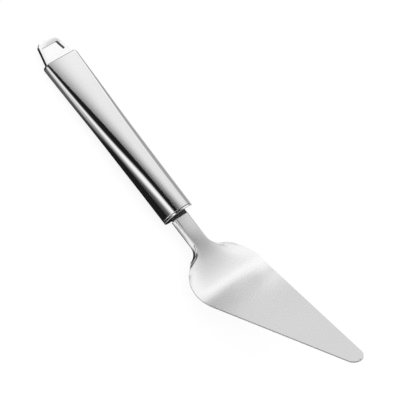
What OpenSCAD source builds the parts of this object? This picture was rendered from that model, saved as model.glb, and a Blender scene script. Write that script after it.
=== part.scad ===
// Cake server: pressed steel blade with a channel neck, on a hollow tube handle with a hanging eye.
// Millimetres. It lies on the flat underside of the handle, with the blade pointing along +X and up.
// The pieces are drawn along the handle's own axis, with the handle's front rim at zero,
// and rest_pose() then lays them down.

/* [Handle] */
// Length of the handle from its flat end to the front rim
handle_l = 122; // [105:1:140]
// Width of the handle at its flat end
butt_w = 26.5; // [24:0.5:30]
// Depth of the handle at its flat end
butt_t = 7.4; // [6.4:0.1:9]
// Width of the rounded edge on each side at the flat end
butt_edge_w = 1.55; // [1.35:0.05:2.5]
// Width of the handle at the front rim
front_w = 21.1; // [19:0.1:24]
// Depth of the handle at the front rim
front_t = 17; // [14:0.1:19]
// Width of the rounded edge on each side at the front rim
front_edge_w = 6.4; // [5:0.05:7]
// How far each border of the flat band bows inwards midway
band_waist = 1.8; // [0:0.1:2.5]
// Wall of the handle tube
tube_wall = 1; // [0.8:0.05:1.2]

/* [Front cap] */
// Thickness of the rim that closes the tube
rim_t = 1.2; // [0.8:0.1:2]
// Width of the fine groove between rim and tube
groove_w = 0.4; // [0.2:0.05:0.8]
// Depth of that groove
groove_d = 0.4; // [0.2:0.05:0.6]
// Length of the plug inside the tube
plug_l = 8; // [6:0.5:12]

/* [Neck and collar] */
// Width of the channel-shaped neck
neck_w = 12; // [11:0.1:14]
// Depth of the neck from its top face to its lower edges
neck_t = 4.8; // [4:0.1:6]
// Width of the rolled edge on each side of the neck
roll_w = 1.7; // [1.5:0.05:2]
// Depth of the rolled edge before the flank runs straight down
roll_t = 2; // [1.7:0.05:2.2]
// Height of the neck's top face above the handle's axis
neck_top = 2; // [1.5:0.1:2.8]
// Straight length of the neck from the front rim to its root
neck_l = 33.5; // [31:0.1:40]
// Length of the collar between rim and neck
collar_l = 1.8; // [1.2:0.1:3]
// How far the collar stands back from the neck's outline
collar_step = 0.25; // [0.1:0.05:0.4]
// Corner radius of the collar
collar_r = 1.4; // [0.8:0.1:1.8]

/* [Blade] */
// Thickness of the pressed sheet
sheet_t = 1; // [0.8:0.05:1.2]
// Greatest width of the blade, across the shoulders
blade_w = 55.4; // [50:0.2:62]
// Length of the blade from its widest line to the tip
blade_l = 104.2; // [90:0.1:120]
// Distance from the front rim to the widest line, along the sheet
widest_at = 50.4; // [49:0.1:53]
// Radius of the rounded tip
tip_r = 6.4; // [5:0.1:9]
// Radius of each shoulder's outline
shoulder_r = 23.7; // [20:0.1:24.5]
// Radius of the hollow corner between neck and shoulder
fillet_r = 8; // [6:0.1:9]
// Angle between blade and handle
rake = 32.6; // [28:0.1:36]
// Radius of the bend at the blade's heel
bend_r = 33; // [25:0.5:40]
// Part of the angle that the heel's bend takes
bend_turn = 24; // [18:0.5:26]
// Radius of the gentle curve at the neck's root
root_r = 90; // [70:1:110]
// How far the shoulders' edges hang below the middle of the sheet
crown_t = 2.3; // [1.2:0.1:2.8]

/* [Tang] */
// Width of the tang
tang_w = 7.6; // [6.5:0.1:8]
// Thickness of the tang
tang_t = 2.6; // [2:0.1:3]
// Length of the tang in the channel of the neck
tang_neck_l = 15; // [10:0.5:17]
// Length of the tang behind the front rim
tang_handle_l = 46; // [30:1:60]
// Diameter of the cross pin
pin_d = 2.5; // [2:0.1:3]
// Length of the cross pin
pin_l = 12; // [11:0.1:13]

/* [Rear cap and hanging eye] */
// Thickness of the cap in the flat end
cap_t = 3; // [2:0.1:5]
// Thickness of the hanging eye
eye_t = 2.4; // [1.6:0.1:2.6]
// Length of the hanging eye behind the flat end
eye_l = 14.4; // [13:0.1:18]
// Width of the hanging eye against the flat end
eye_base_w = 22.2; // [20:0.1:23]
// Width of the hanging eye at its outer end, before the corners are cut
eye_end_w = 14.8; // [13:0.1:18]
// Size of the cut corners at the outer end
eye_corner = 1.8; // [0.5:0.1:2.4]
// Width of the bars beside the hole
eye_side_bar = 2; // [1.6:0.1:3]
// Width of the bar at the outer end
eye_end_bar = 3.5; // [2.4:0.1:4]
// Width of the bar against the flat end
eye_base_bar = 4.2; // [3:0.1:5]
// Radius of the hole's corners
hole_r = 0.7; // [0.3:0.1:1]
// Width of the tenon that holds the eye in the cap
tenon_w = 10; // [6:0.5:12]
// How far the tenon stands out of the cap inside the handle
tenon_out = 0.6; // [0.2:0.1:1.5]

/* [Fit] */
// Gap on each side where one piece fits in another
fit_gap = 0.05; // [0.03:0.01:0.1]

/* [Hidden] */
$fn = 48;

// Steps of the handle's outline round each edge, and of its length
EDGE_STEPS = 16;
TUBE_STEPS = 14;
// Steps across half of the sheet's rolled edge, and along each stretch of its outline
ROLL_STEPS = 7;
ARC_STEPS = 10;
BEND_STEPS = 6;
// Angle left open at the very end of the tip's round, and steepest end of the shoulders' crown
TIP_END_A = 7;
CROWN_A = 42;
// Shares of the half width that the shoulders' crown takes, and the straight strip along its edge
crown_share = 0.62;
strip_share = 0.06;
// One overrun serves all cuts
over = 1;

band_butt = butt_w / 2 - butt_edge_w;
band_front = front_w / 2 - front_edge_w;
tube_front = rim_t + groove_w;
tang_bottom = neck_top - sheet_t - tang_t;
pin_h = -(tube_front + plug_l / 2);
// The handle's underside slopes by this much against its axis, so the rest pose tips it back
rest_tilt = atan((front_t - butt_t) / 2 / handle_l);

// Path of the sheet's top face in the plane of symmetry: neck, root curve, heel bend, flat blade
root_turn = rake - bend_turn;
root_l = root_r * root_turn * PI / 180;
bend_l = bend_r * bend_turn * PI / 180;
heel_end = neck_l + root_l + bend_l;

// Outline of the sheet, laid flat: widths against the distance from the front rim
shoulder_y = blade_w / 2 - shoulder_r;
tip_at = widest_at + blade_l - tip_r;
tip_dist = norm([tip_at - widest_at, shoulder_y]);
edge_a = atan2(shoulder_y, tip_at - widest_at) + asin((shoulder_r - tip_r) / tip_dist);
fillet_y = neck_w / 2 + fillet_r;
fillet_at = widest_at - sqrt(pow(shoulder_r + fillet_r, 2) - pow(fillet_y - shoulder_y, 2));
fillet_turn = atan2(widest_at - fillet_at, fillet_y - shoulder_y);
shoulder_at = fillet_at + fillet_r * sin(fillet_turn);
straight_at = widest_at + shoulder_r * sin(edge_a);
// The rolled edge fades out between these two places
fade_start = fillet_at;
fade_end = fillet_at + fillet_r + roll_w;

function smooth(t) = let (c = min(max(t, 0), 1)) c * c * (3 - 2 * c);
function mix(a, b, k) = a + (b - a) * k;
function unit(v) = v / norm(v);

// Half width of the sheet at the distance u from the front rim
function half_w(u) =
  u <= fillet_at ? neck_w / 2 :
  u <= shoulder_at ? fillet_y - sqrt(pow(fillet_r, 2) - pow(u - fillet_at, 2)) :
  u <= straight_at ? shoulder_y + sqrt(pow(shoulder_r, 2) - pow(u - widest_at, 2)) :
  u <= tip_at + tip_r * sin(edge_a) ? shoulder_y + shoulder_r * cos(edge_a) - (u - straight_at) * tan(edge_a) :
  sqrt(max(pow(tip_r, 2) - pow(u - tip_at, 2), 0));

// Slope of the path at u, and its place as [along the handle, above the axis]
function path_a(u) =
  u <= neck_l ? 0 :
  u <= neck_l + root_l ? (u - neck_l) / root_r * 180 / PI :
  u <= heel_end ? root_turn + (u - neck_l - root_l) / bend_r * 180 / PI :
  rake;
function path_p(u) =
  let (
    a = path_a(u),
    root_p = [neck_l, neck_top] + root_r * [sin(min(a, root_turn)), 1 - cos(min(a, root_turn))],
    bend_p = root_p + bend_r * [sin(a) - sin(root_turn), cos(root_turn) - cos(a)]
  )
  u <= neck_l ? [u, neck_top] :
  u <= neck_l + root_l ? root_p :
  bend_p + max(u - heel_end, 0) * [cos(a), sin(a)];

// Half of a cross section: [y, drop below the path] from the middle to the lower edge
function half_section(u) =
  let (
    k = smooth((u - fade_start) / (fade_end - fade_start)),
    w = half_w(u),
    crown = crown_t * (1 - smooth((u - fade_end) / (straight_at - fade_end))),
    round_t = mix(roll_t, crown, k),
    round_w = mix(roll_w, crown_share * w, k),
    strip = k * strip_share * w,
    strip_t = strip * round_t / round_w * (1 + 1 / cos(CROWN_A)),
    a = mix(90, CROWN_A, k)
  )
  concat(
    [[0, 0]],
    [for (j = [0:ROLL_STEPS]) let (t = a * j / ROLL_STEPS)
      [w - strip - round_w * (1 - sin(t) / sin(a)), round_t * (1 - cos(t)) / (1 - cos(a))]],
    [[w, round_t + mix(neck_t - roll_t, strip_t, k)]]
  );
function mirrored(half) = concat([for (j = [len(half) - 1:-1:1]) [-half[j][0], half[j][1]]], half);
function sheet_row(u) =
  let (a = path_a(u), p = path_p(u))
  [for (q = mirrored(half_section(u))) [p[0] + q[1] * sin(a), q[0], p[1] - q[1] * cos(a)]];

// Places of the cross sections, closer where the outline turns
function stations() = concat(
  [collar_l, fillet_at / 2],
  [for (i = [0:ARC_STEPS]) fillet_at + fillet_r * sin(fillet_turn * i / ARC_STEPS)],
  [for (i = [1:ARC_STEPS + BEND_STEPS])
    widest_at - shoulder_r * sin(mix(fillet_turn, -edge_a, i / (ARC_STEPS + BEND_STEPS)))],
  [for (i = [1:BEND_STEPS]) mix(straight_at, heel_end + bend_l / 2, i / BEND_STEPS)],
  [mix(heel_end, tip_at, 1 / 2)],
  [for (i = [0:ARC_STEPS]) tip_at + tip_r * cos(mix(90 - edge_a, TIP_END_A, i / ARC_STEPS))]
);

// Outward normal of a grid of points, from its neighbours
function grid_normal(g, i, j) =
  unit(cross(
    g[min(i + 1, len(g) - 1)][j] - g[max(i - 1, 0)][j],
    g[i][min(j + 1, len(g[0]) - 1)] - g[i][max(j - 1, 0)]
  ));

// Cross section of the handle at the distance h behind the rim, drawn in by inset
function handle_ring(h, inset) =
  let (
    u = 1 - h / handle_l,
    waist = 4 * band_waist * u * (1 - u),
    band = mix(band_butt, band_front, u) - waist,
    edge = mix(butt_edge_w, front_edge_w, u) + waist - inset,
    depth = mix(butt_t, front_t, u) / 2 - inset
  )
  concat(
    [for (j = [0:EDGE_STEPS]) let (a = 90 - 180 * j / EDGE_STEPS) [-h, band + edge * cos(a), depth * sin(a)]],
    [for (j = [0:EDGE_STEPS]) let (a = -90 - 180 * j / EDGE_STEPS) [-h, -band + edge * cos(a), depth * sin(a)]]
  );

// Solid skin through rings of points, joined end to end or closed by strips across the first and last ring
module skin(rings, closed = false) {
  n = len(rings[0]);
  m = len(rings);
  last = closed ? m - 1 : m - 2;
  walls = [for (i = [0:last]) for (j = [0:n - 1])
    let (a = i * n + j, b = i * n + (j + 1) % n, c = (i + 1) % m * n + (j + 1) % n, d = (i + 1) % m * n + j)
    each [[a, b, c], [a, c, d]]];
  strips = [for (j = [0:n / 2 - 2]) [j, j + 1, n - 2 - j, n - 1 - j]];
  first_end = closed ? [] : [for (q = strips) [q[3], q[2], q[1], q[0]]];
  last_end = closed ? [] : [for (q = strips) [for (v = q) (m - 1) * n + v]];
  polyhedron([for (r = rings) each r], concat(walls, first_end, last_end));
}

module handle_solid(h_front, h_back, inset, steps = 1) {
  skin([for (i = [0:steps]) handle_ring(mix(h_front, h_back, i / steps), inset)]);
}

// Lays the object on the handle's flat underside, with its box centred on the origin
module rest_pose() {
  tip_end = path_p(tip_at + tip_r) + sheet_t * [sin(rake), -cos(rake)];
  x_high = tip_end[0] * cos(rest_tilt) - tip_end[1] * sin(rest_tilt);
  x_low = -(handle_l + eye_l) * cos(rest_tilt) - eye_t / 2 * sin(rest_tilt);
  translate([-(x_high + x_low) / 2, 0, front_t / 2 * cos(rest_tilt)]) rotate([0, -rest_tilt, 0]) children();
}

module tang_hole() {
  translate([-(tube_front + plug_l + over), -(tang_w / 2 + fit_gap), tang_bottom - fit_gap])
    cube([tube_front + plug_l + collar_l + 2 * over, tang_w + 2 * fit_gap, tang_t + 2 * fit_gap]);
}

// Sheet blade, shoulders and channel neck, pressed from one piece
module blade() {
  top = [for (u = stations()) sheet_row(u)];
  rows = [for (i = [0:len(top) - 1]) concat(
    top[i],
    [for (j = [len(top[0]) - 1:-1:0]) top[i][j] - sheet_t * grid_normal(top, i, j)]
  )];
  color("silver") rest_pose() skin(rows);
}

// Bar welded under the neck, which runs through the front cap into the handle
module tang() {
  color("darkgray") rest_pose() difference() {
    translate([-tang_handle_l, -tang_w / 2, tang_bottom]) cube([tang_handle_l + tang_neck_l, tang_w, tang_t]);
    translate([pin_h, 0, 0]) rotate([90, 0, 0]) cylinder(h = tang_w + 2 * over, d = pin_d + 2 * fit_gap, center = true);
  }
}

// Short boss between the rim and the neck
module neck_collar() {
  w = neck_w - 2 * collar_step;
  t = neck_t - 2 * collar_step;
  color("dimgray") rest_pose() difference() {
    translate([0, 0, neck_top - neck_t / 2]) rotate([90, 0, 90]) linear_extrude(collar_l)
      rounded_block(w, t, collar_r);
    tang_hole();
  }
}
module rounded_block(w, t, r) {
  square([w - 2 * r, t], center = true);
  square([w, t - 2 * r], center = true);
  for (sx = [-1, 1]) for (sy = [-1, 1]) translate([sx * (w / 2 - r), sy * (t / 2 - r)]) circle(r);
}

// Plug in the tube's mouth, with the groove and the rim
module front_cap() {
  color("gainsboro") rest_pose() difference() {
    union() {
      handle_solid(rim_t, 0, 0);
      handle_solid(tube_front, rim_t, groove_d);
      handle_solid(tube_front + plug_l, tube_front, tube_wall + fit_gap);
    }
    tang_hole();
    translate([pin_h, 0, 0]) rotate([90, 0, 0]) cylinder(h = pin_l + fit_gap, d = pin_d + 2 * fit_gap, center = true);
  }
}

// Cross pin that holds the tang in the front cap
module tang_pin() {
  color("gray") rest_pose() translate([pin_h, 0, 0]) rotate([90, 0, 0]) cylinder(h = pin_l, d = pin_d, center = true);
}

// Tube, round at the front and pressed flat towards its end
module handle_tube() {
  outer = [for (i = [0:TUBE_STEPS]) handle_ring(mix(handle_l, tube_front, i / TUBE_STEPS), 0)];
  inner = [for (i = [TUBE_STEPS:-1:0]) handle_ring(mix(handle_l, tube_front, i / TUBE_STEPS), tube_wall)];
  color("lightgray") rest_pose() skin(concat(outer, inner), closed = true);
}

// Cap set in the flat end, slotted for the eye's tenon
module rear_cap() {
  color("silver") rest_pose() difference() {
    handle_solid(handle_l, handle_l - cap_t, tube_wall + fit_gap);
    translate([-handle_l - over, -tenon_w / 2 - fit_gap, -eye_t / 2 - fit_gap])
      cube([cap_t + 2 * over, tenon_w + 2 * fit_gap, eye_t + 2 * fit_gap]);
  }
}

// Flat trapezoid eye with cut corners, on a tenon
module hanging_eye() {
  b = eye_base_w / 2;
  e = eye_end_w / 2;
  lean = (b - e) / eye_l;
  tenon_root = eye_base_bar / 2;
  color("whitesmoke") rest_pose() translate([-handle_l, 0, -eye_t / 2]) {
    linear_extrude(eye_t) difference() {
      polygon([
        [0, -b], [-eye_l + eye_corner, -e - lean * eye_corner], [-eye_l, -e + eye_corner],
        [-eye_l, e - eye_corner], [-eye_l + eye_corner, e + lean * eye_corner], [0, b]
      ]);
      hull() for (h = [eye_base_bar + hole_r, eye_l - eye_end_bar - hole_r]) for (s = [-1, 1])
        translate([-h, s * (b - lean * h - eye_side_bar - hole_r)]) circle(hole_r, $fn = 24);
    }
    translate([-tenon_root, -tenon_w / 2, 0]) cube([tenon_root + cap_t + tenon_out, tenon_w, eye_t]);
  }
}

blade();
tang();
neck_collar();
front_cap();
tang_pin();
handle_tube();
rear_cap();
hanging_eye();
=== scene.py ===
# %% [markdown]
# # A cake server in polished and satin steel
# A pointed blade of thin sheet steel is joined by a folded neck to a hollow handle.
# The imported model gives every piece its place, and the cells below give each one its real surface:
# rounded lips, a finely turned rim, and the change from satin to polish along the handle.

import math

import bpy
import numpy as np
from mathutils import Matrix


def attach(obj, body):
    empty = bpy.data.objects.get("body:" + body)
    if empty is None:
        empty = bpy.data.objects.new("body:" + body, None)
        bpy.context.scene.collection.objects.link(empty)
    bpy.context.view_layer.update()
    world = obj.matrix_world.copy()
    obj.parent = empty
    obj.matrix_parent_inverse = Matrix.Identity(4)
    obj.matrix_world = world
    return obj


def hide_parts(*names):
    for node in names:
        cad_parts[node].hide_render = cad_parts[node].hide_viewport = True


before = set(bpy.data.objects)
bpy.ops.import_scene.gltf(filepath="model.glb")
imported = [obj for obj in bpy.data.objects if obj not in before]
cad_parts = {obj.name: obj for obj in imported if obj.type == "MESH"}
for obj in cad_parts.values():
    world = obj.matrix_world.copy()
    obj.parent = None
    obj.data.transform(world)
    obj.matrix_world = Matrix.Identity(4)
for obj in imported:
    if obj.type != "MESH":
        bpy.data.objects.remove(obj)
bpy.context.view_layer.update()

# %% [markdown]
# ## Sizes, and the handle's own axes
# The server lies on the flat underside of its handle. The handle gets thinner towards its end,
# so its own axis is tipped by about two degrees on the table.
# The pieces could be worked out straight in the table's axes, but then every ring of the handle would be
# a slanting one. So each is worked out in millimetres along the handle: h runs from the flat end to the rim,
# where it is zero, y runs across, and d is the height above the axis.
# One function then lays all points down, in metres.

# %% Sizes in millimetres
HANDLE_L = 122.0
BUTT = dict(width=26.5, depth=7.4, edge=1.55)
FRONT = dict(width=21.1, depth=17.0, edge=6.4)
BAND_WAIST, BAND_CROWN = 1.8, 0.45
WALL, FIT = 1.0, 0.05
RIM_T, GROOVE_W, GROOVE_D, PLUG_L = 1.2, 0.4, 0.4, 8.0
NECK_W, NECK_T, NECK_TOP, NECK_L = 12.0, 4.8, 2.0, 33.5
ROLL_W, ROLL_T = 1.7, 2.0
COLLAR_L, COLLAR_STEP, COLLAR_R = 1.8, 0.25, 1.4
TANG_W, TANG_T, SHEET_T = 7.6, 2.6, 1.0
BLADE_W, BLADE_L, WIDEST_AT, TIP_R = 55.4, 104.2, 50.4, 6.4
SHOULDER_R, FILLET_R, CROWN_T = 23.7, 8.0, 2.3
RAKE, BEND_TURN = math.radians(32.6), math.radians(24.0)
BEND_R, ROOT_R = 33.0, 90.0
EYE = dict(thick=2.4, length=14.4, base=22.2, end=14.8, corner=1.8,
           side_bar=2.0, end_bar=3.5, base_bar=4.2, hole_r=0.7)

tilt = math.atan((FRONT["depth"] - BUTT["depth"]) / 2 / HANDLE_L)
root_turn = RAKE - BEND_TURN
root_l, bend_l = ROOT_R * root_turn, BEND_R * BEND_TURN
heel_end = NECK_L + root_l + bend_l
print("tilt in degrees", round(math.degrees(tilt), 3), "heel ends at", round(heel_end, 2))


# %% The sheet's path
def sheet_path(u):
    """Slope, h and d of the sheet's top face at the distance u from the rim.

    In words: straight along the neck, then an arc of the root's radius, then an arc of the bend's radius,
    and from the heel on straight at the rake. Each stretch adds radius times the change of sine and cosine.
    """
    turn_a = np.clip(u - NECK_L, 0, root_l) / ROOT_R
    slope = turn_a + np.clip(u - NECK_L - root_l, 0, bend_l) / BEND_R
    flat = np.maximum(u - heel_end, 0)
    neck = np.minimum(u, NECK_L)
    h = neck + ROOT_R * np.sin(turn_a) + BEND_R * (np.sin(slope) - np.sin(turn_a)) + flat * np.cos(slope)
    d = NECK_TOP + ROOT_R * (1 - np.cos(turn_a)) + BEND_R * (np.cos(turn_a) - np.cos(slope)) + flat * np.sin(slope)
    return slope, h, d


tip_u = WIDEST_AT + BLADE_L
tip_h, tip_d = map(float, sheet_path(np.array(tip_u))[1:])
tip_h, tip_d = tip_h + SHEET_T * math.sin(RAKE), tip_d - SHEET_T * math.cos(RAKE)
x_high = tip_h * math.cos(tilt) - tip_d * math.sin(tilt)
x_low = -(HANDLE_L + EYE["length"]) * math.cos(tilt) - EYE["thick"] / 2 * math.sin(tilt)
rim_x, rim_z = -(x_high + x_low) / 2, FRONT["depth"] / 2 * math.cos(tilt)


def lay_down(points):
    """Turn points [h, y, d] by the handle's tilt about y, and shift them to the rim's place, in metres."""
    h, y, d = points[..., 0], points[..., 1], points[..., 2]
    x = h * math.cos(tilt) - d * math.sin(tilt) + rim_x
    z = h * math.sin(tilt) + d * math.cos(tilt) + rim_z
    return np.stack([x, y, z], -1) / 1000


print("rim at x", round(rim_x, 3), "z", round(rim_z, 3), "in millimetres")

# %% [markdown]
# ## From rings of points to closed pieces
# Most pieces are a loop of points that changes along the way, like the rings of a lathe or a press.
# They could be cut out of blocks with modifiers, but then each lip would need its own bevel.
# Here two neighbouring rings are joined by four-sided faces, and the stack is either joined end to end,
# as a pipe's wall is, or closed by strips across its first and last ring.
# The sign of the volume tells which way the faces point.


# %% Rings into faces
def smoothstep(t):
    """Three t squared less two t cubed, held between 0 and 1."""
    t = np.clip(t, 0, 1)
    return t * t * (3 - 2 * t)


def ring_faces(rows, around, joined=True):
    """Corner numbers of the faces between each ring and the next, and of the end strips where the stack is open."""
    row = np.arange(rows if joined else rows - 1)[:, None]
    col = np.arange(around)[None, :]
    here, up = row * around, (row + 1) % rows * around
    faces = np.stack([here + col, here + (col + 1) % around, up + (col + 1) % around, up + col], -1).reshape(-1, 4)
    if joined:
        return faces
    j = np.arange(around // 2 - 1)
    strip = np.stack([j, j + 1, around - 2 - j, around - 1 - j], -1)
    return np.concatenate([faces, strip[:, ::-1], strip + (rows - 1) * around])


def signed_volume(points, faces):
    """A sixth of the sum of the triple products of each triangle's corners."""
    tri = np.concatenate([faces[:, [0, 1, 2]], faces[:, [0, 2, 3]]])
    a, b, c = (points[tri[:, k]] for k in range(3))
    return float(np.einsum("ij,ij->i", a, np.cross(b, c)).sum() / 6)


print("faces of a joined stack of 3 rings of 8 points", len(ring_faces(3, 8)))


# %% Faces into pieces
def add_piece(name, rings, replaced, marks=None, joined=True):
    """One closed, smooth mesh in the model's frame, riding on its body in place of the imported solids.

    The marks are numbers for each point, kept on the mesh for its material to read.
    """
    points, faces = lay_down(rings).reshape(-1, 3), ring_faces(*rings.shape[:2], joined)
    if signed_volume(points, faces) < 0:
        faces = faces[:, ::-1]
    mesh = bpy.data.meshes.new(name)
    mesh.from_pydata(points.tolist(), [], faces.tolist())
    mesh.polygons.foreach_set("use_smooth", np.ones(len(mesh.polygons), bool))
    for mark, values in (marks or {}).items():
        mesh.attributes.new(mark, "FLOAT", "POINT").data.foreach_set("value", np.asarray(values, np.float32).ravel())
    mesh.update()
    piece = bpy.data.objects.new(name, mesh)
    bpy.context.scene.collection.objects.link(piece)
    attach(piece, "root")
    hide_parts(*replaced)
    print(name, len(mesh.vertices), "points", round(abs(signed_volume(points, faces)) * 1e9), "mm3")
    return piece


# %% [markdown]
# ## The handle's section
# The tube was drawn round and then pressed: a flat band above and below, and a polished flank on each side.
# The band is very slightly crowned, which is what makes the satin darken towards one border.
# Its borders bow inwards midway, and the flank is a quarter of an oval that grows squarer towards the flat end.
# A loft between two drawn ends could not do that, so the flank is worked out from how tightly it turns.

# %% The handle's sizes along the way
BAND_N, FLANK_N = 9, 26
LAST_L, LAST_BOW = 22, 0.5


def handle_sizes(h):
    """Half band, flank width and half depth at h: straight lines between both ends, and a bow for the band.

    Over the last stretch before the flat end the band gives up a little more on each side.
    """
    u = 1 + h / HANDLE_L
    bow = 4 * BAND_WAIST * u * (1 - u) + LAST_BOW * smoothstep((LAST_L - HANDLE_L - h) / LAST_L)
    half = (1 - u) * (BUTT["width"] / 2 - BUTT["edge"]) + u * (FRONT["width"] / 2 - FRONT["edge"]) - bow
    edge = (1 - u) * BUTT["edge"] + u * FRONT["edge"] + bow
    return half, edge, ((1 - u) * BUTT["depth"] + u * FRONT["depth"]) / 2


print("half band, flank and half depth at the flat end and at the rim")
print(np.round(handle_sizes(np.array([-HANDLE_L, 0.0])), 2).T.tolist())

# %% The flank's curve
FINE = 4
SQUARE_AFTER, SQUARE_L = 25, 60
FLATTER_AFTER, FLATTER_L = 60, 45
EVEN_TURN, EVEN_MORE, EVEN_SOFT = 60, 5, math.radians(16)
START_TURN, START_SPAN, START_MORE = math.radians(10), math.radians(14), 1.1
EARLY_R, LATE_R, LATE_POWER = 4, 6, 10


def running_sum(values, step):
    """Sums of the values along each row by the trapezoid rule, beginning with zero."""
    sums = np.cumsum(values[:, 1:] * step / 2 + values[:, :-1] * step / 2, 1)
    return np.concatenate([np.zeros((len(values), 1)), sums], 1)


def flank_curve(h, width, drop, first):
    """The flank from the band's border to the widest line, worked out from how tightly it turns.

    In words: each small turn of the normal moves the point by the radius at that turn, outwards with its cosine
    and down with its sine. The radius is that of an oval at the rim. Towards the flat end it becomes even over
    the first 60 to 65 degrees of turn, larger round the tenth degree, and the rest is an upright side.
    One factor for the early and one for the late part make the sums meet the width and the drop.
    """
    h, width, drop, first = (v[:, None] for v in np.broadcast_arrays(h, width, drop, first))
    turn = first + (math.pi / 2 - first) * np.linspace(0, 1, (FLANK_N - 1) * FINE + 1)[None, :]
    oval = (width * drop) ** 2 / ((width * np.sin(turn)) ** 2 + (drop * np.cos(turn)) ** 2) ** 1.5
    squarer = smoothstep(-(h + SQUARE_AFTER) / SQUARE_L)
    flatter = smoothstep(-(h + FLATTER_AFTER) / FLATTER_L)
    even = 1 - smoothstep((turn - np.radians(EVEN_TURN + EVEN_MORE * flatter)) / EVEN_SOFT)
    start = np.exp(-(((turn - START_TURN) / START_SPAN) ** 2))
    early = oval * np.cos(turn) ** 2 * (1 - squarer) + EARLY_R * even * (1 + START_MORE * flatter * start) * squarer
    late = oval * np.sin(turn) ** 2 * (1 - squarer) + LATE_R * np.sin(turn) ** LATE_POWER * squarer
    step = np.diff(turn, axis=1)
    early_y, early_d, late_y, late_d = (
        running_sum(radius * wave(turn), step) for radius in (early, late) for wave in (np.cos, np.sin))
    whole = early_y[:, -1:] * late_d[:, -1:] - early_d[:, -1:] * late_y[:, -1:]
    early_k = (width * late_d[:, -1:] - drop * late_y[:, -1:]) / whole
    late_k = (drop * early_y[:, -1:] - width * early_d[:, -1:]) / whole
    y, d = early_k * early_y + late_k * late_y, drop - (early_k * early_d + late_k * late_d)
    return y[:, ::FINE], d[:, ::FINE]


flank_end = flank_curve([0.0], FRONT["edge"], FRONT["depth"] / 2, 0.0)
print("the flank at the rim ends at y, d", [round(abs(float(v[0, -1])), 3) for v in flank_end])


# %% Rings of the handle
CROWN_BAND, CROWN_AT_RIM = 8, 1.6


def handle_rings(h, inset, squeeze=0.0):
    """Rings [h, y, d] round the handle, and for each point its distance outside the band.

    In words: a quarter runs from the band's middle, sagging by the crown times the squared share, to the border,
    and then down the flank. The other three quarters are its mirror images.
    The inset draws flank and depth in, the squeeze the width alone.
    """
    h, inset, squeeze = np.broadcast_arrays(np.asarray(h, float), inset, squeeze)
    half, edge, depth = handle_sizes(h)
    crown = BAND_CROWN * half / CROWN_BAND * (CROWN_AT_RIM + h / HANDLE_L)
    share = np.linspace(0, 1, BAND_N)[None, :]
    band_y = half[:, None] * share
    band_d = (depth - inset)[:, None] - crown[:, None] * share**2
    flank_y, flank_d = flank_curve(h, edge - inset, depth - inset - crown, 2 * crown / half)
    y = np.concatenate([band_y, half[:, None] + flank_y[:, 1:]], 1)
    d = np.concatenate([band_d, flank_d[:, 1:]], 1)
    y = y * (1 - squeeze / (half + edge))[:, None]
    y = np.concatenate([y, y[:, -2::-1], -y[:, 1:], -y[:, -2:0:-1]], 1)
    d = np.concatenate([d, -d[:, -2::-1], -d[:, 1:], d[:, -2:0:-1]], 1)
    points = np.stack([np.broadcast_to(h[:, None], y.shape), y, d], -1)
    return points, np.abs(y) - half[:, None]


def turned_corner(start, end, steps):
    """A quarter circle in [h, inset] from one point to the other, leaving the first along the inset."""
    t = np.linspace(0, math.pi / 2, steps)
    start, end = np.array(start, float), np.array(end, float)
    return np.stack([start[0] + (end[0] - start[0]) * (1 - np.cos(t)), start[1] + (end[1] - start[1]) * np.sin(t)], 1)


print("points in a ring of the handle", handle_rings([0.0], 0.0)[0].shape[1])

# %% [markdown]
# ## The tube
# The tube is the hollow steel that the hand holds. A Solidify modifier could give it its wall, but not the two
# different ends, so the profile is carried round the section as a closed loop: out over the lip at the flat end,
# along the outside, over a very small lip at the groove, and back along the inside.
# In plan the two corners of the flat end are rounded, which a squeeze of the width close to that end gives.

# %% The tube's profile
LIP, CORNER_R, CORNER_SHARE = 0.5, 1.8, 0.8
# The second number is a depth under the outer surface. Points deeper than it get painted shade: the inside, the lip
# at the flat end where the eye sits, and the lip into the groove.
CHAMFER, PAINTED_SHADE_DEPTH = 0.05, 0.035
CORNER_ROWS, LONG_ROWS, INNER_ROWS, LONG_END = 8, 46, 16, 0.6
# Each row of a profile is the place along the handle and the depth under the outer surface.
FRONT_LIP = np.array([(-0.3, 0), (-0.15, 0), (-0.04, 0.03), (0, 0.14)])
back, fore = -HANDLE_L, -(RIM_T + GROOVE_W)
corner_h = back + LIP + (CORNER_R - LIP) * np.linspace(0, 1, CORNER_ROWS) ** 1.5
outer_h = np.concatenate([corner_h, np.linspace(back + CORNER_R, fore - LONG_END, LONG_ROWS)[1:]])
inner_h = np.linspace(fore - 1, back + 1, INNER_ROWS)
profile = np.concatenate([
    turned_corner((back, LIP), (back + LIP, 0), 5)[:-1],
    np.stack([outer_h, 0 * outer_h], 1),
    FRONT_LIP + [fore, 0],
    [(fore, WALL - CHAMFER), (fore - CHAMFER, WALL)],
    np.stack([inner_h, np.full(INNER_ROWS, WALL)], 1),
    [(back + CHAMFER, WALL), (back, WALL - CHAMFER)],
])
print("tube profile", len(profile), "rows")

# %% Handle tube
near_end = np.clip(CORNER_R - (profile[:, 0] - back), 0, CORNER_R)
squeeze = CORNER_R - np.sqrt(np.maximum(CORNER_R**2 - near_end**2, 0))
rings, outside = handle_rings(profile[:, 0], profile[:, 1], squeeze * CORNER_SHARE)
# Painted shade: the inside wall and both lips are marked for a dark grey, for the shade in the joint with the eye and
# in the groove.
joint_shade = np.broadcast_to(profile[:, 1:] > PAINTED_SHADE_DEPTH, outside.shape)
tube = add_piece("handle_tube_skin", rings, ["handle_tube"], {"outside": outside, "joint_shade": joint_shade})

# %% [markdown]
# ## The front cap
# The cap is a turned plug that closes the tube. Only its rim and the fine groove behind it show, and a ring would do
# for the picture, but it is made whole, because its mesh is used on its own as well.
# Its loop comes back through the slot that holds the tang, where the handle's oval changes to a rectangle.

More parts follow.
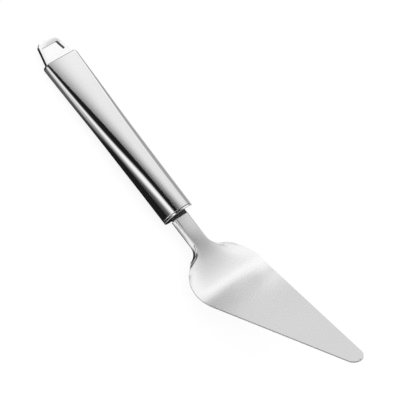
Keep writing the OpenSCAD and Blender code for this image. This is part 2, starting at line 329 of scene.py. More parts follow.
# %% The cap's profile
EDGE_R, LEAD_L, LEAD_D = 0.3, 0.3, 0.4
BACK_LIP = np.array([(0, 0.12), (0.04, 0.03), (0.1, 0), (0.2, 0)])
OUTER_ROWS = [(-0.42, 0), (-0.33, 0)]
FACE_ROWS = [(0, 0.4), (0, 0.6), (0, 1.2)]
plug_back, plug_in = -(RIM_T + GROOVE_W + PLUG_L), WALL + FIT
cap_profile = np.concatenate([
    # The plug in the tube, with a sloping lead at its back.
    [(plug_back, WALL + LEAD_D), (plug_back + LEAD_L, plug_in), (fore - LEAD_L, plug_in), (fore, plug_in)],
    # The groove's floor, which is a very little deeper at its back and higher at its front.
    [(fore + 0.02, GROOVE_D + 0.05), (fore + 0.06, GROOVE_D), (-RIM_T - 0.06, GROOVE_D), (-RIM_T, GROOVE_D - 0.05)],
    # The rim: its back edge, barely broken, its outer surface, its turned front edge, and its face.
    BACK_LIP + [-RIM_T, 0],
    OUTER_ROWS,
    turned_corner((0, EDGE_R), (-EDGE_R, 0), 7)[::-1],
    FACE_ROWS,
])
rings, outside = handle_rings(cap_profile[:, 0], cap_profile[:, 1])
print("cap profile", len(cap_profile), "rows")


# %% Front cap
def box_ring(width, depth, middle, ring):
    """Push each point of a ring out to a rectangle along the direction from the axis.

    In words: the direction is divided by the larger of its two shares of the rectangle's half sizes.
    """
    y, d = ring[..., 1], ring[..., 2]
    scale = 1 / np.maximum(np.abs(y) / (width / 2), np.abs(d) / (depth / 2))
    return np.stack([ring[..., 0], y * scale, d * scale + middle], -1)


GROOVE_SHADE_D, EDGE_SHADE, EDGE_SHADE_H, EDGE_SHADE_D = 0.3, 0.8, -0.2, 0.31
tang_mid = NECK_TOP - SHEET_T - TANG_T / 2
slot_w, slot_t = TANG_W + 2 * FIT, TANG_T + 2 * FIT
slot_rings = np.stack([box_ring(slot_w, slot_t, tang_mid, rings[-1] + [step, 0, 0]) for step in (0, plug_back)])
face_rings = rings[-1] + (slot_rings[0] - rings[-1]) * np.linspace(0, 1, 6)[1:-1, None, None]
inner_rings = np.concatenate([face_rings, slot_rings])
cap_h, cap_in = cap_profile[:, :1], cap_profile[:, 1:]
# Painted shade on the groove's floor, and a painted dark reflection, at 0.8 of that dark grey, on the rim's turned
# front edge.
in_groove = (cap_in > GROOVE_SHADE_D) * (cap_h < -RIM_T)
on_edge = (cap_h > EDGE_SHADE_H) * (cap_in < EDGE_SHADE_D)
shade = in_groove + on_edge * EDGE_SHADE
cap = add_piece("front_rim", np.concatenate([rings, inner_rings]), ["front_cap"], {
    "outside": np.concatenate([outside, np.repeat(outside[-1:], len(inner_rings), 0)]),
    "joint_shade": np.concatenate([np.broadcast_to(shade, outside.shape), np.zeros(inner_rings.shape[:2])])})

# %% [markdown]
# ## The collar
# A short boss fills the gap between the rim and the neck. It stands back a quarter of a millimetre
# from the neck all round, so that it reads as a dark line, and its own edges are broken.
# Its steel is nearly black: painted shade for the gap.
# A box with a Bevel modifier would come close, but not have the fine groove round its middle,
# so it is a stack of rings too.

# %% Collar
SLOT_R, CORNER_N = 0.2, 9


def block_ring(width, depth, middle, radius, h):
    """A rounded rectangle across the handle at h, as its four corner arcs in turn.

    In words: each point is its corner's centre plus the radius times the cosine and the sine.
    """
    t = np.linspace(0, math.pi / 2, CORNER_N)
    centres = np.array([(1, 1), (-1, 1), (-1, -1), (1, -1)]) * [width / 2 - radius, depth / 2 - radius]
    turns = np.arange(4)[:, None] * math.pi / 2 + t[None, :]
    y = (centres[:, :1] + radius * np.cos(turns)).ravel()
    d = (centres[:, 1:] + radius * np.sin(turns)).ravel()
    return np.column_stack([np.full(len(y), h), y, d + middle])


neck_mid = NECK_TOP - NECK_T / 2
boss_w, boss_t = NECK_W - 2 * COLLAR_STEP, NECK_T - 2 * COLLAR_STEP
# Each pair is the place along the collar and how far its surface is drawn in there.
collar_steps = [
    (0.0, 0.25), (0.12, 0.06), (0.3, 0.0), (0.75, 0.0), (0.85, 0.08), (0.95, 0.0),
    (COLLAR_L - 0.3, 0.0), (COLLAR_L - 0.1, 0.06), (COLLAR_L, 0.25)]
rings = np.stack([
    *[block_ring(boss_w - 2 * drawn_in, boss_t - 2 * drawn_in, neck_mid, COLLAR_R - drawn_in / 2, h)
      for h, drawn_in in collar_steps],
    *[block_ring(slot_w, slot_t, tang_mid, SLOT_R, h) for h in (COLLAR_L, 0.0)]])
collar = add_piece("collar_boss", rings, ["neck_collar"])

# %% [markdown]
# ## Blade, shoulders and neck
# All three are one pressed sheet, so they are one surface. Its outline is laid flat first: a straight neck,
# a hollow corner, the round shoulder, a straight edge and the rounded tip. Across it, the section is flat
# in the middle and turns down at each side: a tight roll with a straight flank along the neck,
# which opens into a shallow crown on the shoulders and dies out on the blade.
# The sheet's thickness is laid off along the surface's own normal, as Solidify does it, but with a rounded edge.

# %% Outline of the sheet
shoulder_y = BLADE_W / 2 - SHOULDER_R
tip_at = tip_u - TIP_R
taper_l = tip_at - WIDEST_AT
edge_a = math.atan2(shoulder_y, taper_l) + math.asin((SHOULDER_R - TIP_R) / math.hypot(taper_l, shoulder_y))
fillet_y = NECK_W / 2 + FILLET_R
fillet_at = WIDEST_AT - math.sqrt((SHOULDER_R + FILLET_R) ** 2 - (fillet_y - shoulder_y) ** 2)
fillet_turn = math.atan2(WIDEST_AT - fillet_at, fillet_y - shoulder_y)
shoulder_at = fillet_at + FILLET_R * math.sin(fillet_turn)
straight_at = WIDEST_AT + SHOULDER_R * math.sin(edge_a)
straight_y = shoulder_y + SHOULDER_R * math.cos(edge_a)
tip_from = tip_at + TIP_R * math.sin(edge_a)


def half_width(u):
    """Half the sheet's width at u: neck, circle, circle, straight line and circle, each in its own stretch."""
    root = lambda r, x: np.sqrt(np.maximum(r * r - x * x, 0))
    return np.select(
        [u <= fillet_at, u <= shoulder_at, u <= straight_at, u <= tip_from],
        [NECK_W / 2 + 0 * u, fillet_y - root(FILLET_R, u - fillet_at), shoulder_y + root(SHOULDER_R, u - WIDEST_AT),
         straight_y - (u - straight_at) * math.tan(edge_a)],
        root(TIP_R, u - tip_at))


print("corner, shoulder, straight edge and tip begin at",
      np.round([fillet_at, shoulder_at, straight_at, tip_from], 1))

# %% Section of the sheet
FADE_FROM, FADE_TO = 27.0, 31.5
FLAT_N, ROLL_N, SIDE_N, SHEET_EDGE = 16, 14, 4, 0.25
CROWN_FROM, CROWN_NARROW, CROWN_WIDEN, CROWN_STOP = 0.38, 7, 15, 3
LEAST_SIDE = 0.01


def crown_sag(u, y):
    """Drop by the crown: the square of the share of the half width past its start.

    It fades in where the sheet widens, and out again before the straight edge.
    """
    w = half_width(u)
    fade_out = 1 - smoothstep((u - FADE_FROM) / (straight_at - CROWN_STOP - FADE_FROM))
    depth = CROWN_T * np.clip((w - CROWN_NARROW) / CROWN_WIDEN, 0, 1) * fade_out
    return depth * np.maximum(np.abs(y) / w - CROWN_FROM, 0) ** 2 / (1 - CROWN_FROM) ** 2


def side_by_side(*parts):
    """Join parts with one row, or one row for each station, into full rows."""
    rows = max(len(part) for part in parts)
    return np.concatenate([np.broadcast_to(part, (rows, part.shape[1])) for part in parts], 1)


def sheet_top(u):
    """The upper face as rows of points [h, y, d] from edge to edge, and how far each point is round the roll.

    In words: a row starts at the outline and goes inwards square to it for the width of the roll,
    then straight across to the middle. Over the roll the sheet drops by a quarter of an oval, and below it the flank
    runs straight down. Both drops fade out past the corner, and the crown adds its own.
    """
    w = half_width(u)
    lean = np.arctan(np.gradient(w, u))
    fade = (1 - smoothstep((u - FADE_FROM) / (FADE_TO - FADE_FROM)))[:, None]
    t = math.pi / 2 * np.linspace(0, 1, ROLL_N)[None, :]
    down = np.linspace(0, 1, SIDE_N)[None, 1:]
    inset = SHEET_EDGE * (1 - fade)
    inward = inset + (ROLL_W - inset) * (1 - np.sin(t))
    roll_u = u[:, None] + inward * np.sin(lean)[:, None]
    roll_y = w[:, None] - inward * np.cos(lean)[:, None]
    flat_y = roll_y[:, :1] * np.linspace(0, 1, FLAT_N)[None, :-1]
    flat_u = np.repeat(roll_u[:, :1], FLAT_N - 1, 1)
    across = side_by_side(flat_y, roll_y, np.repeat(roll_y[:, -1:], SIDE_N - 1, 1))
    along = side_by_side(flat_u, roll_u, np.repeat(roll_u[:, -1:], SIDE_N - 1, 1))
    still = np.zeros((1, FLAT_N - 1))
    fall = side_by_side(still, ROLL_T * (1 - np.cos(t)), ROLL_T + (NECK_T - ROLL_T) * down) * fade
    fall = fall + crown_sag(along, across) + side_by_side(still, 0 * t, LEAST_SIDE * down)
    rolled = side_by_side(still, t / math.pi * 2, np.ones_like(down)) * fade
    y, drop, along, rolled = (np.concatenate([sign * half[:, :0:-1], half], 1)
                              for sign, half in ((-1, across), (1, fall), (1, along), (1, rolled)))
    slope, h, d = sheet_path(along)
    return np.stack([h + drop * np.sin(slope), y, d - drop * np.cos(slope)], -1), rolled, inset


def grid_normals(grid):
    """Unit cross product of the two central differences at each point."""
    n = np.cross(np.gradient(grid, axis=0), np.gradient(grid, axis=1))
    return n / np.maximum(np.linalg.norm(n, axis=-1, keepdims=True), 1e-12)


print("crown at the widest place", crown_sag(np.array([WIDEST_AT]), BLADE_W / 2).round(2))


# %% Faces of the sheet
TIP_REST = math.radians(2.5)
steps_to = lambda count: np.linspace(0, 1, count)[1:]
stations = np.concatenate([
    [COLLAR_L, COLLAR_L + 0.25], np.linspace(COLLAR_L + 1, fillet_at, 14),
    fillet_at + FILLET_R * np.sin(fillet_turn * steps_to(26)),
    WIDEST_AT - SHOULDER_R * np.sin(fillet_turn + (-edge_a - fillet_turn) * steps_to(44)),
    np.linspace(straight_at, tip_from, 40)[1:],
    tip_at + TIP_R * np.cos(math.pi / 2 - edge_a + (TIP_REST - math.pi / 2 + edge_a) * steps_to(20)),
])
top, rolled, inset = sheet_top(stations)
normal = grid_normals(top)
if normal[len(stations) // 2, top.shape[1] // 2, 2] < 0:
    normal = -normal
under = top - SHEET_T * normal
print("sheet", len(stations), "rows of", top.shape[1], "points on each face")


# %% Blade
def outward(side, inner):
    """Direction out of the sheet along one edge: square to the edge and to the face's normal."""
    along = np.gradient(top[:, side], axis=0)
    out = np.cross(along, normal[:, side])
    out /= np.linalg.norm(out, axis=-1, keepdims=True)
    return out * np.sign((out * (top[:, side] - top[:, inner])).sum(-1, keepdims=True))


edge_out = {-1: outward(-1, -FLAT_N), 0: outward(0, FLAT_N)}


def edge_point(side, moved_in, deep):
    """The edge line moved in, and down through the sheet by deep."""
    return top[:, side] + (inset - moved_in) * edge_out[side] - deep * normal[:, side]


upper, lower = top.copy(), under.copy()
for side in edge_out:
    upper[:, side], lower[:, side] = edge_point(side, SHEET_EDGE, 0), edge_point(side, SHEET_EDGE, SHEET_T)
# Over the rounded edge: how far each line is moved in, and how deep it lies in the sheet.
edge_steps = [(0.09, 0.16), (0.04, 0.5), (0.09, 0.84)]
rings = np.concatenate([
    upper, np.stack([edge_point(-1, *step) for step in edge_steps], 1),
    lower[:, ::-1], np.stack([edge_point(0, *step) for step in edge_steps[::-1]], 1),
], 1)
at_edge = np.repeat(rolled[:, -1:], len(edge_steps), 1)
marks = np.concatenate([rolled, at_edge, rolled[:, ::-1], at_edge], 1)
blade = add_piece("blade_sheet", rings, ["blade"], {"rolled": marks}, joined=False)

# %% [markdown]
# ## The hanging eye
# The eye is a plate with two cut corners and a four-sided hole, for a hook or a peg. A plate with a hole is often cut
# with a Boolean modifier, which leaves long thin faces. Here it is one closed loop as well: up the outer edge,
# in over the top, down through the hole and out along the underside.
# Outline and hole have the same number of points, so that the flat faces between them are strips.

# %% Outlines of the eye
COUNT, ARC_N = 240, 9
OUTLINE_RADII = [0.5, 0.7, 0.7, 0.7, 0.7, 0.5]
base, end, length, cut = EYE["base"] / 2, EYE["end"] / 2, EYE["length"], EYE["corner"]
lean = (base - end) / length
near_h, far_h = -EYE["base_bar"], EYE["end_bar"] - length
middle = (near_h + far_h) / 2
near_y, far_y = (base + lean * h - EYE["side_bar"] for h in (near_h, far_h))
outline = [(0, -base), (cut - length, -end - lean * cut), (-length, cut - end),
           (-length, end - cut), (cut - length, end + lean * cut), (0, base)]
hole = [(near_h, -near_y), (far_h, -far_y), (far_h, far_y), (near_h, near_y)]
print("eye's hole", round(near_h - far_h, 2), "long and", round(2 * near_y, 2), "to", round(2 * far_y, 2), "wide")


def unit(v):
    """Vectors of length one."""
    return v / np.maximum(np.linalg.norm(v, axis=1, keepdims=True), 1e-12)


def rounded_polygon(corners, radii):
    """Each corner of the outline becomes an arc that touches both of its sides.

    In words: the arc's centre lies on the corner's bisector, at the radius over the sine of half the angle.
    """
    corners, radii = np.array(corners, float), np.array(radii, float)
    before, after = unit(np.roll(corners, 1, 0) - corners), unit(np.roll(corners, -1, 0) - corners)
    half = np.arccos(np.clip((before * after).sum(1), -1, 1)) / 2
    centre = corners + unit(before + after) * (radii / np.sin(half))[:, None]
    reach = (radii / np.tan(half))[:, None]
    first, last = corners + before * reach - centre, corners + after * reach - centre
    a0, a1 = np.arctan2(first[:, 1], first[:, 0]), np.arctan2(last[:, 1], last[:, 0])
    turn = (a1 - a0 + math.pi) % (2 * math.pi) - math.pi
    t = a0[:, None] + turn[:, None] * np.linspace(0, 1, ARC_N)[None, :]
    return (centre[:, None] + radii[:, None, None] * np.stack([np.cos(t), np.sin(t)], -1)).reshape(-1, 2)


def even_loop(corners, radii):
    """The rounded outline as points at even steps of length, anticlockwise from its smallest angle."""
    angle = lambda loop: np.arctan2(loop[:, 1], loop[:, 0] - middle)
    loop = rounded_polygon(corners, radii)
    closed = np.concatenate([loop, loop[:1]])
    s = np.concatenate([[0], np.cumsum(np.linalg.norm(np.diff(closed, axis=0), axis=1))])
    at = (s[np.argmax(angle(loop))] + np.linspace(0, s[-1], COUNT, endpoint=False)) % s[-1]
    loop = np.stack([np.interp(at, s, closed[:, k]) for k in (0, 1)], -1)
    if (loop[:, 0] * np.roll(loop[:, 1], -1) - loop[:, 1] * np.roll(loop[:, 0], -1)).sum() < 0:
        loop = loop[::-1]
    return np.roll(loop, -int(np.argmin(angle(loop))), 0)


# %% Hanging eye
JOINT_SHADE_H, JOINT_SHADE_IN, BULGE = -0.5, 0.25, 0.3


def moved_in(loop, inward):
    """A loop moved along its own normal, which is its tangent turned by a right angle."""
    tangent = unit(np.roll(loop, -1, 0) - np.roll(loop, 1, 0))
    return loop + inward * np.stack([-tangent[:, 1], tangent[:, 0]], -1)


def broken_edge(side, size, reach):
    """Five steps [d, inward] from the plate's side over one of its edges.

    In words: a bevel of this size that bulges towards the corner, with one more step at the reach on either side.
    """
    face = side * EYE["thick"] / 2
    bulge = (face - side * BULGE * size, BULGE * size)
    return [(face - side * reach, 0), (face - side * size, 0), bulge, (face, size), (face, reach)]


# Painted shade: the eye's outer edge within half a millimetre of the tube, where it meets the tube, is marked for a
# dark grey.
rings, joint_shade = [], []
for loop, sign, steps in (
        (even_loop(outline, OUTLINE_RADII), 1, broken_edge(-1, 0.3, 0.4)[::-1] + broken_edge(1, 0.15, 0.3)),
        (even_loop(hole, [EYE["hole_r"]] * 4), -1, broken_edge(1, 0.12, 0.3)[::-1] + broken_edge(-1, 0.2, 0.3))):
    for d, inward in steps:
        ring = moved_in(loop, inward * sign)
        rings.append(np.column_stack([ring[:, 0] - HANDLE_L, ring[:, 1], np.full(COUNT, d)]))
        joint_shade.append((ring[:, 0] > JOINT_SHADE_H) * (inward < JOINT_SHADE_IN) * (sign > 0))
eye = add_piece("eye_plate", np.stack(rings), ["hanging_eye"], {"joint_shade": np.stack(joint_shade)})

# %% [markdown]
# ## Shader arithmetic
# Materials are built from nodes, which could be placed and linked one at a time.
# Node trees are easier to read as sums and products, so a small class holds one output socket,
# and its operators add Math nodes. Everything else, such as noise or a bump, comes from one method
# that sets a node's options first and its inputs after.


# %% Values and nodes
class Value:
    """One number, or one colour, that varies over a surface."""

    def __init__(self, page, socket):
        self.page, self.socket = page, socket

    def __add__(self, other):
        return self.page.calc("ADD", self, other)

    def __sub__(self, other):
        return self.page.calc("SUBTRACT", self, other)

    def __rsub__(self, other):
        return self.page.calc("SUBTRACT", other, self)

    def __mul__(self, other):
        return self.page.calc("MULTIPLY", self, other)

    def __truediv__(self, other):
        return self.page.calc("DIVIDE", self, other)

    def __rtruediv__(self, other):
        return self.page.calc("DIVIDE", other, self)

    def __pow__(self, other):
        return self.page.calc("POWER", self, other)

    def __rpow__(self, other):
        return self.page.calc("POWER", other, self)

    def __neg__(self):
        return self * -1

    __radd__, __rmul__ = __add__, __mul__

    def at_least(self, low):
        return self.page.calc("MAXIMUM", self, low)

    def rise(self, low, high):
        """0 below low, 1 above high, and a smooth step between them."""
        return self.page.node("ShaderNodeMapRange", {"interpolation_type": "SMOOTHSTEP"}, self, low, high, 0.0, 1.0)

    def fall(self, low, high):
        """1 below low, 0 above high, and a smooth step between them."""
        return 1 - self.rise(low, high)


class Page:
    """The node tree of a material or of the world."""

    def __init__(self, owner):
        owner.use_nodes = True
        self.tree = owner.node_tree
        self.tree.nodes.clear()

    def node(self, kind, settings=None, *inputs, out=0, places=None, **named):
        """Add a node: its settings first, then its inputs by order, by place or by name.

        out names the output that comes back as a Value, or several of them.
        """
        made = self.tree.nodes.new(kind)
        for key, value in (settings or {}).items():
            setattr(made, key, value)
        by_name = {name.replace("_", " "): value for name, value in named.items()}
        for key, value in {**dict(enumerate(inputs)), **(places or {}), **by_name}.items():
            if isinstance(value, Value):
                self.tree.links.new(value.socket, made.inputs[key])
            else:
                made.inputs[key].default_value = value
        if isinstance(out, tuple):
            return [Value(self, made.outputs[key]) for key in out]
        return Value(self, made.outputs[out]) if len(made.outputs) else made

    def calc(self, operation, first, second):
        return self.node("ShaderNodeMath", {"operation": operation}, first, second)

    def mix(self, factor, first, second):
        """Blend two colours: factor 0 gives the first."""
        return self.node("ShaderNodeMix", {"data_type": "RGBA"}, factor, places={6: first, 7: second}, out=2)

    def mark(self, name):
        """The numbers that a piece keeps for each of its points under this name."""
        return self.node("ShaderNodeAttribute", {"attribute_name": name}, out="Fac")

    def xyz(self, place):
        return self.node("ShaderNodeSeparateXYZ", None, place, out=("X", "Y", "Z"))


def grey(v):
    return (v, v, v, 1.0)


WHITE = grey(1.0)
print("middle grey", grey(0.5))

# %% [markdown]
# ## Steel
# Satin steel has a fine grain along the piece, which shows as faint streaks of roughness
# and as a bump far too small to see singly. Polish takes the grain away and leaves low roughness
# with a few broad, weak ripples from the buffing wheel. Both could be painted pictures, but noise on the model's
# own coordinates has no seams, and works on any piece.
# Steel is all metal, so only its colour, its roughness and its bump vary.

# %% Steel finishes
LONG_GRAIN, SHORT_GRAIN, CROSS_GRAIN = (60.0, 3500.0, 3500.0), (200.0, 200.0, 200.0), (200.0, 60.0, 60.0)
NOISE_ROUGHNESS, CLOUD_SCALE = 0.55, 28.0
BUMP_STRENGTH, BUMP_DISTANCE = 0.05, 0.00001
STREAK_CONTRAST, CLOUD_SHARE, CLOUD_SHADE, POLISH_SHADE = 0.06, 0.35, 0.9, 0.97
STREAK_ROUGHER, CLOUD_ROUGHER, POLISH_ROUGHER = 0.10, 0.05, 0.03
# The dark grey of painted shade.
PAINTED_SHADE_GREY = 0.04


def stretched_noise(page, scale, stretch, detail):
    """Noise on the model's own coordinates, drawn out along the piece by the stretch."""
    place = page.node("ShaderNodeTexCoord", out="Object")
    place = page.node("ShaderNodeMapping", None, place, Rotation=(0.0, tilt, 0.0), Scale=stretch)
    return page.node("ShaderNodeTexNoise", {"noise_dimensions": "3D"}, place,
                     Scale=scale, Detail=detail, Roughness=NOISE_ROUGHNESS)


def steel(name, satin, polish=None, polished=None, darken=None, grain=LONG_GRAIN):
    """Steel with a satin finish, and a polished one where polished(page) is 1. Each is given as (grey, roughness).

    darken(page) is 1 where shade is painted: there the colour becomes a dark grey, in the joints, grooves and hollows
    where shade falls.
    """
    material = bpy.data.materials.new(name)
    page = Page(material)
    streaks = stretched_noise(page, 1.0, grain, 3.0)
    cloud = stretched_noise(page, CLOUD_SCALE, (1.0, 1.0, 1.0), 2.0)
    colour = page.mix(streaks, grey(satin[0] * (1 - STREAK_CONTRAST)), grey(satin[0] * (1 + STREAK_CONTRAST)))
    colour = page.mix(cloud * CLOUD_SHARE, colour, grey(satin[0] * CLOUD_SHADE))
    rough = satin[1] + (streaks - 0.5) * STREAK_ROUGHER + (cloud - 0.5) * CLOUD_ROUGHER
    height = streaks
    if polished:
        shine = polished(page)
        colour = page.mix(shine, colour, page.mix(cloud, grey(polish[0] * POLISH_SHADE), grey(polish[0])))
        rough = rough * (1 - shine) + (polish[1] + (cloud - 0.5) * POLISH_ROUGHER) * shine
        height = streaks * (1 - shine) + cloud * shine
    if darken:
        colour = page.mix(darken(page), colour, grey(PAINTED_SHADE_GREY))
    normal = page.node("ShaderNodeBump", None, Strength=BUMP_STRENGTH, Distance=BUMP_DISTANCE, Height=height)
    page.node("ShaderNodeOutputMaterial", None, page.node(
        "ShaderNodeBsdfPrincipled", None, Base_Color=colour, Metallic=1.0, Roughness=rough, Normal=normal))
    print(name, len(page.tree.nodes), "nodes")
    return material


# %% Steel on the pieces
joint_shade_mark = lambda page: page.mark("joint_shade")
past_band = lambda page: page.mark("outside").rise(-0.02, 0.1)
past_rim_band = lambda page: page.mark("outside").rise(-0.2, 0.2)
round_roll = lambda page: page.mark("rolled").rise(0.1, 0.8) * 0.75
finishes = [
    # The handle, the rim and the eye get their painted shade from their marks.
    (tube, steel("handle_steel", (0.78, 0.28), (0.93, 0.075), past_band, joint_shade_mark)),
    (cap, steel("rim_steel", (0.85, 0.12), (0.95, 0.06), past_rim_band, joint_shade_mark)),
    (blade, steel("blade_steel", (0.68, 0.27), (0.93, 0.09), round_roll)),
    (eye, steel("bright_steel", (0.95, 0.10), darken=lambda page: joint_shade_mark(page) * 0.8, grain=SHORT_GRAIN)),
    # The collar's steel is nearly black, which is painted shade for the gap between rim and neck.
    (collar, steel("collar_painted_shade", (0.05, 0.20), grain=CROSS_GRAIN)),
]
for piece, material in finishes:
    piece.data.materials.append(material)
plain_steel = steel("plain_steel", (0.45, 0.42))
for name in ("tang", "tang_pin", "rear_cap"):
    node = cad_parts[name]
    node.data.materials.clear()
    node.data.materials.append(plain_steel)

# %% [markdown]
# ## The studio
# The photograph has a plain white ground. The floor is pale and keeps the shadow; a little light of its own,
# for what the camera and the reflections see, lifts it to white.
# Metal is only as good as what it mirrors. Lamps would leave hard spots in it, so the light comes from the world,
# which is white all round. For reflections alone it has a soft dark patch behind, round the horizon,
# and a brighter band towards the flat end, which the heel of the blade mirrors.

# %% Floor
FLOOR_HALF, FLOOR_Z, FLOOR_GREY, FLOOR_LIGHT = 6, -0.0001, 0.17, 0.86
FLOOR_CORNERS = np.array([(-1, -1, 0), (1, -1, 0), (1, 1, 0), (-1, 1, 0)]) * FLOOR_HALF + [0, 0, FLOOR_Z]
floor_mesh = bpy.data.meshes.new("floor")
floor_mesh.from_pydata(FLOOR_CORNERS.tolist(), [], [(0, 1, 2, 3)])
floor = bpy.data.objects.new("floor", floor_mesh)
bpy.context.scene.collection.objects.link(floor)
floor_paint = bpy.data.materials.new("floor_paint")
page = Page(floor_paint)
camera_ray, glossy_ray, clear_ray = page.node(
    "ShaderNodeLightPath", out=("Is Camera Ray", "Is Glossy Ray", "Is Transmission Ray"))
own_light = page.node("ShaderNodeEmission", None, WHITE, (camera_ray + glossy_ray + clear_ray) * FLOOR_LIGHT)
matte = page.node("ShaderNodeBsdfDiffuse", None, grey(FLOOR_GREY))
page.node("ShaderNodeOutputMaterial", None, page.node("ShaderNodeAddShader", None, matte, own_light))
floor_mesh.materials.append(floor_paint)
print("floor", 2 * FLOOR_HALF, "m wide")

# %% World
DARKER, BRIGHTER = 0.62, 0.64
world = bpy.data.worlds.new("studio")
bpy.context.scene.world = world
page = Page(world)
x, y, z = page.xyz(page.node("ShaderNodeTexCoord", out="Generated"))
# The turn is the direction's angle in degrees about the x axis: 0 is straight up, and below zero is behind.
turn = page.calc("ARCTAN2", -y, z) * (180 / math.pi)
behind = turn.fall(-72, -54) * turn.rise(-140, -110) * x.rise(-0.5, -0.3) * DARKER
glow = BRIGHTER * x.rise(-0.66, -0.52) * x.fall(-0.51, -0.22)
glossy = page.node("ShaderNodeLightPath", out="Is Glossy Ray")
level = glossy * ((1 - behind) * (1 + glow)) + (1 - glossy)
page.node("ShaderNodeOutputWorld", None, page.node("ShaderNodeBackground", None, WHITE, level))
world.cycles.sampling_method = "NONE"
print("world", len(page.tree.nodes), "nodes")

# %% [markdown]
# ## Cards for the reflections
# Polished steel looks like steel because it also mirrors something dark. A photographer puts black and white cards
# near the piece for that. They could be plain planes, but a real card's border is soft when it is seen in steel,
# so each card here is clear where its cover is 0 and dense where it is 1.
# Only reflections see the cards: they throw no shadow, and the camera looks through them.
# In the covers below, rise(a, b) begins at a and is whole from b on, fall(a, b) is the reverse, and all places
# are in metres. They were found by following single mirrored rays from the steel to the cards.

# %% A card
DARK, BRIGHT = 0.012, 1.45


def card(name, low, high, cover, light=DARK):
    """An upright or level card between two corners, seen in reflections only.

    cover(x, y, z), in metres, tells how dense it is at a place, from 0 to 1.
    """
    low, high = np.array(low), np.array(high)
    first, second = np.eye(3, dtype=bool)[high > low]
    corners = [np.where(far, high, low).tolist() for far in (first & second, first, first | second, second)]
    mesh = bpy.data.meshes.new(name)
    mesh.from_pydata(corners, [], [(0, 1, 2, 3)])
    made = bpy.data.objects.new(name, mesh)
    bpy.context.scene.collection.objects.link(made)
    made.visible_camera = made.visible_diffuse = made.visible_shadow = made.visible_transmission = False
    paint = bpy.data.materials.new(name)
    page = Page(paint)
    dense = cover(*page.xyz(page.node("ShaderNodeTexCoord", out="Object")))
    face = page.node("ShaderNodeEmission", None, WHITE, light)
    clear = page.node("ShaderNodeBsdfTransparent")
    page.node("ShaderNodeOutputMaterial", None, page.node("ShaderNodeMixShader", None, dense, clear, face))
    mesh.materials.append(paint)
    print(name, len(page.tree.nodes), "nodes")


def oval(x, y, centre, radii):
    """Distance from an oval's centre, as a share of its radii: the root of the sum of the two squared shares."""
    return (((x - centre[0]) / radii[0]) ** 2 + ((y - centre[1]) / radii[1]) ** 2) ** 0.5


# %% [markdown]
# ### Overhead
# The large dark card hangs over the handle, and a soft dark spot past its border is for the hanging eye.
# A thin one hangs over the neck, with a darker spot past it for the hollow corner between neck and blade.
# A small white card past the right shoulder is for the fold where the shoulder meets the neck.


# %% Cards overhead
def above(x, y, z):
    """Dense over the handle. Towards the flat end the border on the camera's side runs outwards and gets softer."""
    back = (-x - 0.0135).at_least(0.0)
    near_clear = (back - 0.018).at_least(0.0) ** 1.6 * -4.4 - 0.0299
    near_dense = back.rise(0.081, 0.123) * 0.018 - back.rise(0.022, 0.074) * 0.020 - 0.0133
    far = (x + 0.06).at_least(0.0) ** 2 * 2.0 + 0.0175
    handle = x.rise(-0.17, -0.15) * y.rise(near_clear, near_dense) * (y - far).fall(-0.012, 0.012)
    for_eye = oval(x, y, (-0.149, 0.0385), (0.0032, 0.010)).fall(0.2, 1.1)
    return handle * x.fall(-0.006, 0.0) + for_eye * 0.5


def over_neck(x, y, z):
    """Thin over the neck, denser towards the camera's side, with an oval cloud where the neck meets the shoulders."""
    side = y.fall(0.008, 0.0145) * x.fall(0.014, 0.021)
    cloud = oval(x, y, (0.0185, 0.0135), (0.014, 0.015)).fall(0.1, 1.2)
    past_neck = x.rise(0.017, 0.021)
    near = y.rise(-0.034, -0.026) * (1 - past_neck) + y.rise(-0.0125, -0.006) * past_neck
    inside = x.rise(-0.003, 0.0) * x.fall(0.031, 0.036) * near * y.fall(0.026, 0.033)
    for_corner = oval(x, y, (0.0185, 0.039), (0.005, 0.008)).fall(0.3, 1.0)
    return (side * 0.45 + 0.02 + cloud * 0.46) * inside + for_corner * 0.85


def white(x, y, z):
    """A white card past the right shoulder, with soft borders. Its left border leans over at the far end."""
    left = x + y.rise(0.042, 0.052) * 0.013
    return left.rise(0.020, 0.029) * x.fall(0.029, 0.038) * y.rise(0.020, 0.038) * y.fall(0.08, 0.1)


# %% [markdown]
# ### Below and beside
# The flanks of the handle and the rolled sides of the neck look down and outwards, so what they mirror lies on the
# table and stands beside it. One large card lies under the piece, one stands on the camera's side of the handle,
# and one past the flat end, for the hollow corner of the shoulder, which faces that way.


# %% Cards below and beside
def below(x, y, z):
    """Dense under the thick end, paler near the flat end, half dense far behind, and a strip beside the neck.

    The border between handle and neck runs along with the reflected rays, which drift back by a tenth of their way.
    Past it lie the narrow strip that the rim's face mirrors, and a faint one for the neck's first stretch.
    Under the eye a little more is dense, with a slit for the light line on the eye's thick side.
    """
    camera_side = y.fall(0.002, 0.008)
    thick_end = x.rise(-0.11, -0.06)
    at_eye = x.fall(-0.1235, -0.1215)
    handle = thick_end + (1 - thick_end) * (y.rise(-0.04, -0.0155) * 0.62 + at_eye * 0.1 + 0.28)
    past_rim = x - (y + 0.0105) * 0.105 * camera_side
    neck = past_rim.rise(0.0, 0.001)
    rim_face = camera_side * past_rim.fall(0.0026, 0.0034)
    close = y.rise(-0.0125, -0.0085)
    first_stretch = past_rim.rise(0.002, 0.005) * x.fall(0.012, 0.018) * y.rise(-0.018, -0.015) * (1 - close) * 0.3
    beside_neck = close * y.fall(-0.004, -0.001).at_least(rim_face) + first_stretch
    slit = x.rise(-0.134, -0.1336) * x.fall(-0.1322, -0.1318) * y.rise(-0.0075, -0.007) * y.fall(0.009, 0.0095)
    inside = x.rise(-0.4, -0.3) * x.fall(0.035, 0.08) * y.rise(-0.6, -0.35) * y.fall(0.0, 0.020)
    far_behind = y.rise(0.0, 0.02) * (1 - neck) * 0.62
    return (handle * (1 - neck) + beside_neck * neck) * inside * (1 - slit * 0.8) + far_behind


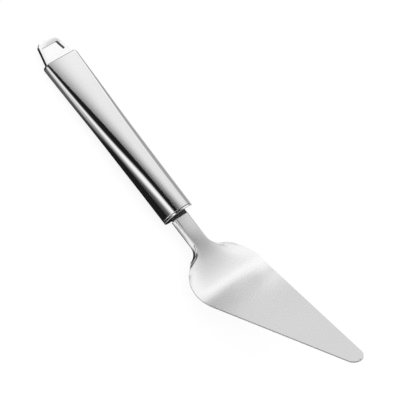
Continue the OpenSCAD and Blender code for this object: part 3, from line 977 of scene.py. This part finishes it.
def past_end(x, y, z):
    """Dense low down, clear at the top and at both sides."""
    return y.rise(-0.12, -0.09) * y.fall(-0.03, -0.015) * z.fall(0.06, 0.1) * 0.95


def beside(x, y, z):
    """Dense at the table, clear at the top, and lower towards the flat end."""
    raised = (-x - 0.039).at_least(0.0) * 1.27 + z
    return x.rise(-0.2, -0.16) * x.fall(-0.014, -0.010) * raised.fall(0.035, 0.165) * 0.93


# %% Put up the cards
card("card_above", (-0.17, -0.21, 0.055), (0.0, 0.05, 0.055), above)
card("card_over_neck", (-0.003, -0.034, 0.034), (0.036, 0.048, 0.034), over_neck)
card("card_below", (-1.5, -0.6, 0.0002), (0.1, 3.0, 0.0002), below)
card("card_white", (0.005, 0.02, 0.036), (0.038, 0.1, 0.036), white, BRIGHT)
card("card_past_end", (-0.16, -0.12, 0.001), (-0.16, -0.015, 0.1), past_end)
card("card_beside", (-0.2, -0.13, 0.001), (0.0, -0.13, 0.17), beside)

# %% [markdown]
# ## The camera
# The view was worked out from the photograph: a long lens from 1.4 m away, above and in front of the handle's side.
# A camera can be aimed with a constraint, but its own three axes say the same without one.
# It looks at the rim, and a small shift puts the rim where the photograph has it.

# %% Camera
# The view's own axes, in the handle's axes: to the right, up, and back towards the lens.
RIGHT = np.array([0.603701, 0.697348, 0.38633])
UP = np.array([-0.787058, 0.444263, 0.427983])
TOWARDS = np.array([0.126821, -0.562438, 0.817056])
DISTANCE, PIXELS_PER_MM, FRAME = 1400.0, 1.63891, 400.0
RIM_PIXEL = (178.636, 214.867)
SENSOR, FAR_LIMIT = 36.0, 100.0


def tilted(v):
    """A direction in the handle's axes, turned into the model's by the tilt about y, and of length one."""
    cosine, sine = math.cos(tilt), math.sin(tilt)
    return np.array([v[0] * cosine - v[2] * sine, v[1], v[0] * sine + v[2] * cosine]) / np.linalg.norm(v)


right, up, towards = tilted(RIGHT), tilted(UP), tilted(TOWARDS)
rim = np.array([rim_x, 0, rim_z]) / 1000
camera_data = bpy.data.cameras.new("camera")
camera = bpy.data.objects.new("camera", camera_data)
bpy.context.scene.collection.objects.link(camera)
place = Matrix([(*row, 0.0) for row in np.stack([right, up, towards], 1).tolist()] + [(0.0, 0.0, 0.0, 1.0)])
place.translation = (rim + towards * DISTANCE / 1000).tolist()
camera.matrix_world = place
camera_data.sensor_width = SENSOR
camera_data.lens = SENSOR * PIXELS_PER_MM * DISTANCE / FRAME
camera_data.shift_x = (FRAME / 2 - RIM_PIXEL[0]) / FRAME
camera_data.shift_y = (RIM_PIXEL[1] - FRAME / 2) / FRAME
camera_data.clip_end = FAR_LIMIT
bpy.context.scene.camera = camera
print("camera", [round(v, 3) for v in place.translation], "lens", round(camera_data.lens, 1))

# %% Colour view
bpy.context.scene.view_settings.view_transform = "Standard"
